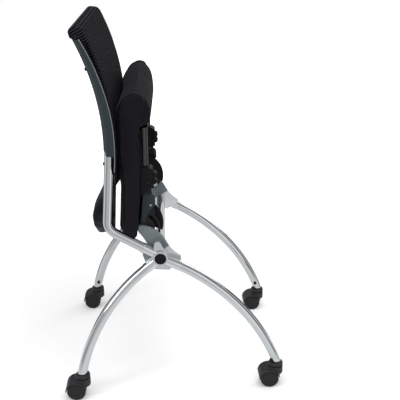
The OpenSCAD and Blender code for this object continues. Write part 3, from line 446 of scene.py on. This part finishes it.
yarn = add(knit, "MixRGB", {"Color1": linear("040405"), "Color2": linear("0C0B0D")},
           {"Fac": loops.outputs["Fac"]})
hue = add(knit, "MixRGB", {"Color2": linear("2E2B32")},
          {"Color1": yarn.outputs["Color"], "Fac": painted_cord_highlight.outputs[0]})
knit.node_tree.links.new(bump.outputs[0], shader.inputs["Normal"])
knit.node_tree.links.new(hue.outputs["Color"], shader.inputs["Base Color"])


def activate(piece):
    """Selects one piece alone and makes it active."""
    bpy.ops.object.select_all(action="DESELECT")
    piece.select_set(True)
    bpy.context.view_layer.objects.active = piece


def coat(piece, material, crease=None):
    """A piece's material and smooth shading, broken at edges over a crease in degrees."""
    piece.data.materials.append(material)
    activate(piece)
    if crease is None:
        bpy.ops.object.shade_smooth()
    else:
        bpy.ops.object.shade_smooth_by_angle(angle=math.radians(crease))


def on_back(radius, degrees):
    """Place in X and Z at a radius and an angle of the back's long curve."""
    turn = math.radians(degrees)
    return BACK_CENTRE[0] + radius * math.cos(turn), BACK_CENTRE[1] + radius * math.sin(turn)


def angle_at(radius, height):
    """Angle in degrees at which a radius of the back's curve reaches a height."""
    return math.degrees(math.asin((height - BACK_CENTRE[1]) / radius))


def curve_between(points, count):
    """Points along a cubic through its two ends and two handles."""
    a, b, c, d = [Vector(point) for point in points]
    steps = [i / count for i in range(1, count + 1)]
    return [tuple(a * (1 - t) ** 3 + b * 3 * t * (1 - t) ** 2 + c * 3 * t * t * (1 - t)
                  + d * t ** 3) for t in steps]


def back_ring(across):
    """Section of the covered back in X and Z at one place across it."""
    edge = max(0.0, abs(across) - (BACK_HALF - CORNER)) / CORNER
    round_off = CORNER * (1 - math.sqrt(max(0.0, 1 - edge * edge)))
    low, high = LOW_Z + round_off, HIGH_Z - round_off
    side = max(0.0, abs(across) - (BACK_HALF - SIDE_WIDTH)) / SIDE_WIDTH
    thin = math.sqrt(max(0.0, 1 - side * side * SIDE_THIN))
    middle = (FRONT_R + REAR_R) / 2
    front, rear = middle + (FRONT_R - middle) * thin, middle + (REAR_R - middle) * thin
    lip = rear + (LIP_R - rear) * min(1.0, thin + LIP_KEPT)
    start, stop = angle_at(front, low + HEM), angle_at(front, high - SHOULDER)
    ring = []
    for i in range(FACE_COUNT + 1):
        degrees = start + (stop - start) * i / FACE_COUNT
        wave = math.cos(2 * math.pi * math.radians(degrees) * front / CORD_PITCH)
        lift = CORD_LIFT * max(0.0, wave) ** CORD_SHARP
        ring.append(on_back(front + lift * thin, degrees))
    shoulder = on_back(front, stop)
    top_r = (front + lip) / 2
    top = (on_back(top_r, angle_at(top_r, high))[0] - 0.001, high)
    tail = on_back(lip, angle_at(lip, high - TAIL))
    # The handles of both curves round the top edge softly.
    ring += curve_between([shoulder, (shoulder[0] - 0.0010, shoulder[1] + 0.006),
                           (top[0] + 0.011, high), top], 10)
    ring += curve_between([top, (top[0] - 0.007, high),
                           (tail[0] + 0.003, tail[1] + 0.007), tail], 8)
    under = SLEEVE_END - (0.0 if abs(across) > SLEEVE_FROM else BETWEEN_SLEEVES)
    under = min(under, angle_at(lip, high - UNDER_DROP))
    ring += [on_back(radius, under) for radius in (lip, lip + HEM_FOLD, (lip + rear) / 2,
                                                   rear - REAR_FOLD)]
    last = angle_at(rear, low + HEM)
    ring += [on_back(rear, under - (under - last) * i / REAR_COUNT)
             for i in range(1, REAR_COUNT + 1)]
    foot_r = (front + rear) / 2
    ring.append(on_back(foot_r, angle_at(foot_r, low)))
    return ring


def loft(name, rings):
    """A closed shell through rings of equal count, capped at both ends."""
    made = bpy.data.objects.new(name, bpy.data.meshes.new(name))
    bpy.context.scene.collection.objects.link(made)
    shell = bmesh.new()
    rows = [[shell.verts.new(point) for point in ring] for ring in rings]
    count = len(rows[0])
    for one, two in zip(rows, rows[1:]):
        for i in range(count):
            shell.faces.new((one[i], one[(i + 1) % count], two[(i + 1) % count], two[i]))
    for row in (rows[0], rows[-1]):
        middle = sum((vert.co for vert in row), Vector()) / count
        hub = shell.verts.new(middle)
        for i in range(count):
            shell.faces.new((row[i], row[(i + 1) % count], hub))
    bmesh.ops.recalc_face_normals(shell, faces=shell.faces)
    shell.to_mesh(made.data)
    shell.free()
    return made


HALF_SHARES = (0, 0.06, 0.12, 0.2, 0.28, 0.36, 0.44, 0.52, 0.6, 0.68, 0.76, 0.81, 0.85, 0.88,
               0.9, 0.92, 0.94, 0.955, 0.968, 0.978, 0.986, 0.992, 0.996, 0.999)
half = [BACK_HALF * share for share in HALF_SHARES]
places = [-across for across in half[:0:-1]] + half
back_cover = loft("back_cover", [[(x, across, z) for x, z in back_ring(across)]
                                 for across in places])
coat(back_cover, knit)
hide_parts("back_mesh", "back_frame")
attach(back_cover, "frame")

# Edge strips: glossy extrusions that clip the cover to the frame's sides and catch the
# light as a thin line beside the sleeves; their pale grey, lighter than the cover, is
# partly their own colour and partly a painted highlight along that line.
EDGE_R = 0.6184
EDGE_SINK = 0.0112
EDGE_FROM = 5
EDGE_SPAN = 20
EDGE_BEND = 1.3
STRIP_FROM = -5.4
STRIP_SPAN = 25.2 + 5.4
STRIP_COUNT = 60
STRIP_R = 0.0013
STRIP_FRONT = 0.0008
STRIP_OUT = 0.0012
gloss = principled("extruded_gloss_pvc_painted_highlight", "6A6E70", 0.2)[0]


def cover_edge(degrees):
    """Radius of the line beside the sleeve, where the cover's side begins."""
    share = min(1.0, max(0.0, (degrees - EDGE_FROM) / EDGE_SPAN))
    return EDGE_R - EDGE_SINK * share ** EDGE_BEND


for side, sign in (("left", 1), ("right", -1)):
    rings = []
    for i in range(STRIP_COUNT + 1):
        degrees = STRIP_FROM + STRIP_SPAN * i / STRIP_COUNT
        x, z = on_back(cover_edge(degrees) + STRIP_FRONT, degrees)
        turn = math.radians(degrees)
        out = Vector((math.cos(turn), 0, math.sin(turn)))
        centre = Vector((x, sign * (BACK_HALF + STRIP_OUT), z))
        rings.append([centre + STRIP_R * (out * math.cos(k * math.pi / 5)
                                          + Vector((0, 1, 0)) * math.sin(k * math.pi / 5))
                      for k in range(10)])
    strip = loft("edge_strip_" + side, rings)
    coat(strip, gloss)
    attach(strip, "frame")

# Side profiles: teal-grey extrusions that lie over the cover's edge and wrap
# round each sleeve, so that both read as one smooth side.
UPRIGHT_Y = 0.212
UPRIGHT_LEAN = math.tan(math.radians(1.1))
HUB_Z = 0.397
UPRIGHT_R = 0.605
PROFILE_FROM = -1.85
PROFILE_SPAN = 25.3 + 1.85
PROFILE_COUNT = 54
for side, sign in (("left", 1), ("right", -1)):
    rings = []
    for i in range(PROFILE_COUNT + 1):
        degrees = PROFILE_FROM + PROFILE_SPAN * i / PROFILE_COUNT
        middle = UPRIGHT_Y + (on_back(UPRIGHT_R, degrees)[1] - HUB_Z) * UPRIGHT_LEAN
        front = cover_edge(degrees)
        outline = [(0.5965, middle + 0.0118), (0.5990, middle + 0.0146), (0.6015, 0.2392),
                   (front - 0.0020, 0.2400), (front, 0.2397), (front, 0.2386),
                   (front - 0.0030, 0.2386), (0.6025, middle + 0.0138),
                   (0.6000, middle + 0.0131), (0.5985, middle + 0.0122)]
        rings.append([(x, sign * across, z) for (x, z), across in
                      [(on_back(radius, degrees), across) for radius, across in outline]])
    profile = loft("side_profile_" + side, rings)
    coat(profile, teal, 40)
    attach(profile, "frame")

# Seat cushion: moulded foam wrapped round the board in black woven cloth, a top
# panel that rolls over the front edge, sewn to a flat panel at each side.
SEAT_HALF = 0.222
PIVOT = Vector((-0.084, 0, 0.470))
VOXEL = 0.005
cloth, shader, where = principled("black_woven_upholstery", "121114", 0.9,
                                  Specular_IOR_Level=0.02, Sheen_Weight=0.03,
                                  Sheen_Roughness=0.5)
across = add(cloth, "Mapping", {"Scale": (900, 120, 900)}, {"Vector": where})
weft = add(cloth, "TexNoise", {"Scale": 1, "Detail": 2}, {"Vector": across.outputs[0]})
along = add(cloth, "Mapping", {"Scale": (900, 900, 120)}, {"Vector": where})
warp = add(cloth, "TexNoise", {"Scale": 1, "Detail": 2}, {"Vector": along.outputs[0]})
both = add(cloth, "Math", links={0: weft.outputs["Fac"], 1: warp.outputs["Fac"]},
           operation="MAXIMUM")
bump = add(cloth, "Bump", {"Strength": 0.35, "Distance": 0.0006},
           {"Height": both.outputs[0]})
hue = add(cloth, "MixRGB", {"Color1": linear("121115"), "Color2": linear("211F24")},
          {"Fac": both.outputs[0]})
cloth.node_tree.links.new(bump.outputs[0], shader.inputs["Normal"])
cloth.node_tree.links.new(hue.outputs["Color"], shader.inputs["Base Color"])


def on_seat(point):
    """Forward and upward distances from the pivot of a point on the lying seat."""
    return point[2] - PIVOT.z, PIVOT.x - point[0]


def finish_modifier(piece, kind, **values):
    """Adds a modifier with its values and applies it."""
    activate(piece)
    made = piece.modifiers.new(kind.lower(), kind)
    for key, value in values.items():
        setattr(made, key, value)
    bpy.ops.object.modifier_apply(modifier=made.name)


cushion = bpy.data.objects.new("cushion_cover", bpy.data.meshes.new("cushion_cover"))
bpy.context.scene.collection.objects.link(cushion)
build = bmesh.new()
build.from_mesh(frame["nodes"]["seat_cushion"].data)
bmesh.ops.remove_doubles(build, verts=build.verts, dist=1e-5)
bmesh.ops.recalc_face_normals(build, faces=build.faces)
build.to_mesh(cushion.data)
build.free()

# The rear end reaches further than the foam and stays thicker there.
REAR_FROM = 0.030
REAR_LENGTH = 0.0426
REAR_REACH = 0.012
REAR_MIDDLE = 0.025
REAR_THICKEN = 0.6
for vert in cushion.data.vertices:
    forward, up = on_seat(vert.co)
    if forward < REAR_FROM:
        along = (REAR_FROM - forward) / REAR_LENGTH
        vert.co.z -= REAR_REACH * along
        vert.co.x = PIVOT.x - REAR_MIDDLE - (up - REAR_MIDDLE) * (1 + REAR_THICKEN * along)
finish_modifier(cushion, "REMESH", mode="VOXEL", voxel_size=VOXEL)
finish_modifier(cushion, "SMOOTH", factor=0.5, iterations=3)

# The foam swells the cloth, except in the pocket where the board holds it.
POCKET_HALF = 0.212
POCKET_TOP = 0.033
POCKET_REAR = -0.02
POCKET_FRONT = 0.275
POCKET_FADE = 0.008
SIDE_FREE = 0.35
PRESS_IN = 0.002
PUFF_CAP = 0.009
SWELL_STEPS = 20


def free_share(point):
    """How freely the cover can move: 0 in the pocket round the board, 1 outside."""
    forward, up = on_seat(point)
    if abs(point[1]) > POCKET_HALF:
        return SIDE_FREE
    if up < POCKET_TOP and POCKET_REAR < forward < POCKET_FRONT:
        return 0.0
    if forward >= POCKET_FRONT:
        return 1.0
    return min(1.0, max(0.0, (up - POCKET_TOP) / POCKET_FADE))


rest = [vert.co.copy() for vert in cushion.data.vertices]
share = [free_share(co) for co in rest]
facing = [vert.normal.copy() for vert in cushion.data.vertices]
for vert, free, outward in zip(cushion.data.vertices, share, facing):
    vert.co -= outward * PRESS_IN * free
activate(cushion)
swell = cushion.modifiers.new("swell", "CLOTH")
swell.settings.use_pressure = True
swell.settings.uniform_pressure_force = 4
swell.settings.effector_weights.gravity = 0
swell.settings.quality = 5
for step in range(1, SWELL_STEPS + 1):
    bpy.context.scene.frame_set(step)
shaped = cushion.evaluated_get(bpy.context.evaluated_depsgraph_get()).to_mesh()
grown = [vert.co.copy() for vert in shaped.vertices]
cushion.modifiers.remove(swell)
bpy.context.scene.frame_set(1)
for vert, at, to, free in zip(cushion.data.vertices, rest, grown, share):
    push = to - at
    cap = PUFF_CAP * free
    vert.co = at + (push if push.length <= cap else push.normalized() * cap)
finish_modifier(cushion, "SMOOTH", factor=0.5, iterations=2)

# The seat face is dished across, most of all near the front roll.
DISH = 0.013
DISH_HALF = 0.196
DISH_BEND = 0.7
DISH_START = 0.01
DISH_FROM = 0.02
DISH_SPAN = 0.27
DISH_LEAST = 0.25
facing = [vert.normal.copy() for vert in cushion.data.vertices]
for vert, outward in zip(cushion.data.vertices, facing):
    forward, up = on_seat(vert.co)
    if abs(vert.co.y) < DISH_HALF and up > 0.0 and forward > DISH_START:
        hollow = math.cos(math.pi * vert.co.y / (2 * DISH_HALF)) ** DISH_BEND
        toward = min(1.0, max(DISH_LEAST, (forward - DISH_FROM) / DISH_SPAN))
        vert.co.x += DISH * hollow * max(0.0, -outward.x) ** 0.5 * toward
finish_modifier(cushion, "SUBSURF", levels=1, render_levels=1)

# Side seams: the top panel's edge is sewn to each side panel in a plain seam,
# which draws the cloth in along a narrow furrow round the pad's side outline.
SEAM_IN = 0.0045
FURROW = 0.0016
FURROW_HALF = 0.0035
SIDE_FACING = 0.93
facing = [vert.normal.copy() for vert in cushion.data.vertices]
for vert, outward in zip(cushion.data.vertices, facing):
    off = abs(abs(vert.co.y) - (SEAT_HALF - SEAM_IN))
    if off < FURROW_HALF and abs(outward.y) < SIDE_FACING:
        vert.co -= outward * FURROW * (1 + math.cos(math.pi * off / FURROW_HALF)) / 2
coat(cushion, cloth)
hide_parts("seat_cushion")
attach(cushion, "seat")

# Pivot guards: teal-grey covers 0.6 mm thick, stamped from sheet polypropylene
# and fastened outside the brackets, over their slots, by a zinc-plated screw.
GUARD_NEAR = 0.1968
GUARD_FAR = 0.1962
GUARD_BEVEL = 0.0002
GUARD_OUTLINE = ((0.010, 0.008), (0.040, 0.006), (0.085, 0.002), (0.092, -0.010),
                 (0.092, -0.030), (0.089, -0.034), (0.080, -0.036), (0.062, -0.036),
                 (0.047, -0.020), (0.030, -0.0118), (0.010, -0.010))
SCREW_R = 0.0024
SCREW_HIGH = 0.0004
SCREW_FORWARD = 0.062
SCREW_UP = -0.024


def plate(name, outline, near, far, sign):
    """A flat piece beside the seat, from its outline forward of and above the pivot."""
    return loft(name, [[Vector((PIVOT.x - up, sign * across, PIVOT.z + forward))
                        for forward, up in outline] for across in (far, near)])


for side, sign in (("left", 1), ("right", -1)):
    guard = plate("pivot_guard_" + side, GUARD_OUTLINE, GUARD_NEAR, GUARD_FAR, sign)
    finish_modifier(guard, "BEVEL", width=GUARD_BEVEL, segments=2, limit_method="ANGLE")
    coat(guard, teal, 40)
    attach(guard, "seat")
    bpy.ops.object.select_all(action="DESELECT")
    bpy.ops.mesh.primitive_cylinder_add(vertices=24, radius=SCREW_R, depth=SCREW_HIGH)
    head = bpy.context.object
    head.name = "guard_screw_" + side
    head.data.transform(Matrix.Rotation(math.pi / 2, 4, "X"))
    head.data.transform(Matrix.Translation((PIVOT.x - SCREW_UP, sign * GUARD_NEAR,
                                            PIVOT.z + SCREW_FORWARD)))
    head.data.materials.append(zinc)
    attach(head, "seat")

# Seat pan flanges and slot shields: black strips and plates of the pan's own
# moulding, which close the gap under the cushion and lie inside each slot.
FLANGE = ((0.012, 0.014), (0.045, 0.009), (0.090, 0.004), (0.142, 0.002), (0.194, 0.002),
          (0.225, 0.003), (0.246, 0.005), (0.246, -0.003), (0.225, -0.005),
          (0.194, -0.007), (0.142, -0.007), (0.090, -0.005), (0.045, -0.001),
          (0.012, 0.004))
SHIELD_NEAR = 0.1846
SHIELD_FAR = 0.1832
SHIELD_R = 0.062
SHIELD_FLAT = 0.8
SHIELD_FORWARD = 0.010
SHIELD_UP = -0.006
SHIELD_TURNS = [math.radians(-110 + 8 * i) for i in range(24)]
SHIELD = [(SHIELD_R * math.cos(turn) + SHIELD_FORWARD,
           SHIELD_R * math.sin(turn) * SHIELD_FLAT + SHIELD_UP) for turn in SHIELD_TURNS]
for side, sign in (("left", 1), ("right", -1)):
    for name, outline, near, far in (("pan_flange_", FLANGE, GUARD_NEAR, GUARD_FAR),
                                     ("slot_shield_", SHIELD, SHIELD_NEAR, SHIELD_FAR)):
        strip = plate(name + side, outline, near, far, sign)
        coat(strip, moulded, 40)
        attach(strip, "seat")

# Seam threads: the doubled edge of the cloth, sewn with black polyester thread and drawn
# tight in the furrow round the front roll and along the seat face. Their near-black,
# darker than the cloth, is partly the thread's own colour and partly painted shade in the
# furrow.
THREAD_R = 0.0009
THREAD_STEP = 0.003
THREAD_REAR = 0.02
FACE_UP = 0.03
ROLL_FORWARD = 0.35
ROLL_UP = -0.008
LOOP_UP = 0.02
LOOP_FORWARD = 0.2
thread_and_furrow_shade = principled("polyester_thread_and_painted_furrow_shade", "050506", 0.8,
                          Specular_IOR_Level=0.05)[0]
for side, sign in (("left", 1), ("right", -1)):
    outline = {tuple(round(value, 4) for value in on_seat(v.co))
               for v in frame["nodes"]["seat_cushion"].data.vertices
               if abs(v.co.y - sign * SEAT_HALF) < 1e-4}
    loop = sorted(((PIVOT.x - up, PIVOT.z + forward) for forward, up in outline
                   if forward > THREAD_REAR
                   and (up > FACE_UP or forward > ROLL_FORWARD and up > ROLL_UP)),
                  key=lambda point: math.atan2(PIVOT.x - LOOP_UP - point[0],
                                               point[1] - PIVOT.z - LOOP_FORWARD))
    path = []
    for one, two in zip(loop, loop[1:]):
        count = max(1, round(math.dist(one, two) / THREAD_STEP))
        for i in range(count):
            part = i / count
            start = Vector((one[0] + (two[0] - one[0]) * part, sign * (SEAT_HALF - SEAM_IN),
                            one[1] + (two[1] - one[1]) * part))
            path.append(cushion.closest_point_on_mesh(start)[1:3])
    rings = []
    for i, (spot, outward) in enumerate(path):
        ahead = (path[min(i + 1, len(path) - 1)][0] - path[max(i - 1, 0)][0]).normalized()
        beside = ahead.cross(outward).normalized()
        rings.append([spot + THREAD_R * (outward * math.cos(k * math.pi / 4)
                                         + beside * math.sin(k * math.pi / 4))
                      for k in range(8)])
    thread = loft("seam_" + side, rings)
    coat(thread, thread_and_furrow_shade)
    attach(thread, "seat")

# Caster hoods: black nylon mouldings, a mudguard over both wheels that runs
# into an upright boss round the stem, with a wall between the wheels that holds
# the axle. Each swivels with its stem.
TRAIL = 0.0175
AXLE_Z = 0.025
HOOD_R = 0.0293
HOOD_IN = 0.0260
HOOD_HALF = 0.026
BOSS_R = 0.0200
BOSS_LOW = 0.037
BOSS_HIGH = 0.0590
PAST = 0.1
SKIRT_SIZE = (PAST, PAST, 0.05)
SKIRT_AT = (-TRAIL - 0.002, 0, AXLE_Z - 0.027)
SKIRT_TILT = 9
FRONT_SIZE = (PAST, PAST, PAST)
FRONT_AT = (-TRAIL + 0.060, 0, AXLE_Z - 0.042)
WALL_R = 0.0082
WALL_WIDE = 0.0128
WALL_SIZE = (0.024, WALL_WIDE, 0.030)
WALL_AT = (-0.006, 0, 0.037)
HOOD_VOXEL = 0.0009


def cut(piece, other, how):
    """Joins, cuts or intersects a piece with another one, which is used up."""
    finish_modifier(piece, "BOOLEAN", object=other, operation=how, solver="EXACT")
    bpy.data.objects.remove(other)


def bar(radius, length, place, flat=False, sides=96):
    """A cylinder, standing or lying across."""
    bpy.ops.object.select_all(action="DESELECT")
    bpy.ops.mesh.primitive_cylinder_add(vertices=sides, radius=radius, depth=length)
    made = bpy.context.object
    if flat:
        made.data.transform(Matrix.Rotation(math.pi / 2, 4, "X"))
    made.data.transform(Matrix.Translation(place))
    return made


def block(size, place, tilt=0.0):
    """A block turned about Y."""
    bpy.ops.object.select_all(action="DESELECT")
    bpy.ops.mesh.primitive_cube_add(size=1)
    made = bpy.context.object
    made.data.transform(Matrix.Diagonal((*size, 1)))
    made.data.transform(Matrix.Rotation(math.radians(tilt), 4, "Y"))
    made.data.transform(Matrix.Translation(place))
    return made


hood_nylon, shader, where = principled("satin_black_nylon_hood", "252327", 0.5,
                                       Specular_IOR_Level=0.3)
grain = add(hood_nylon, "TexNoise", {"Scale": 800, "Detail": 3}, {"Vector": where})
bump = add(hood_nylon, "Bump", {"Strength": 0.15, "Distance": 0.0003},
           {"Height": grain.outputs["Fac"]})
hood_nylon.node_tree.links.new(bump.outputs[0], shader.inputs["Normal"])
hood = bar(HOOD_R, 2 * HOOD_HALF, (-TRAIL, 0, AXLE_Z), flat=True)
cut(hood, block(SKIRT_SIZE, SKIRT_AT, SKIRT_TILT), "DIFFERENCE")
cut(hood, block(FRONT_SIZE, FRONT_AT), "DIFFERENCE")
cut(hood, bar(BOSS_R, BOSS_HIGH - BOSS_LOW, (0, 0, (BOSS_LOW + BOSS_HIGH) / 2)), "UNION")
cut(hood, bar(HOOD_IN, PAST, (-TRAIL, 0, AXLE_Z), flat=True), "DIFFERENCE")
wall = bar(WALL_R, WALL_WIDE, (-TRAIL, 0, AXLE_Z), flat=True, sides=48)
cut(wall, block(WALL_SIZE, WALL_AT), "UNION")
cut(hood, wall, "UNION")
finish_modifier(hood, "REMESH", mode="VOXEL", voxel_size=HOOD_VOXEL)
finish_modifier(hood, "SMOOTH", factor=0.5, iterations=6)
finish_modifier(hood, "DECIMATE", ratio=0.35)
coat(hood, hood_nylon)

# Collars and wheel caps: a nylon ring that closes each leg's end over the hood,
# and a domed cap clipped in the dish of each wheel over the axle's end.
REACH = {"front": 0.273, "rear": -0.2525}
TRACK = {"front": 0.212, "rear": 0.24566}
COLLAR_OUTLINE = ((0.01255, 0.0625), (0.0180, 0.0612), (0.0196, 0.0628), (0.0198, 0.0668),
                  (0.0186, 0.0692), (0.0150, 0.0704), (0.01255, 0.0706))
COLLAR_TURNS = [2 * math.pi * i / 64 for i in range(65)]
CAP_OUTLINE = ((0.0001, 0.0009), (0.008, 0.0008), (0.0160, 0.0006), (0.0215, 0.0003),
               (0.0229, -0.0002), (0.0233, -0.0010), (0.0233, -0.0016))
CAP_TURNS = [2 * math.pi * i / 48 for i in range(48)]
for corner in CORNERS:
    end, side = corner.split("_")
    sign = 1 if side == "left" else -1
    stem_at = Vector((REACH[end], sign * TRACK[end], 0))
    mudguard = bpy.data.objects.new(corner + "_mudguard", hood.data.copy())
    bpy.context.scene.collection.objects.link(mudguard)
    mudguard.data.transform(Matrix.Translation(stem_at))
    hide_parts(corner + "_hood")
    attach(mudguard, frame["nodes"][corner + "_hood"]["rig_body"])
    ring = loft(corner + "_collar", [[stem_at + Vector((radius * math.cos(turn),
                                                        radius * math.sin(turn), height))
                                      for radius, height in COLLAR_OUTLINE]
                                     for turn in COLLAR_TURNS])
    coat(ring, hood_nylon, 35)
    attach(ring, "frame")
    for place in ("inner", "outer"):
        wheel = corner + "_wheel_" + place
        low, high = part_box(wheel)
        outside = high.y if (low.y + high.y) / 2 > stem_at.y else low.y
        toward = 1 if outside > stem_at.y else -1
        cap = loft(wheel + "_cap", [[Vector((stem_at.x - TRAIL + radius * math.cos(turn),
                                             outside + toward * deep,
                                             AXLE_Z + radius * math.sin(turn)))
                                     for turn in CAP_TURNS]
                                    for radius, deep in CAP_OUTLINE])
        coat(cap, nylon, 35)
        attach(cap, frame["nodes"][wheel]["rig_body"])
bpy.data.objects.remove(hood)
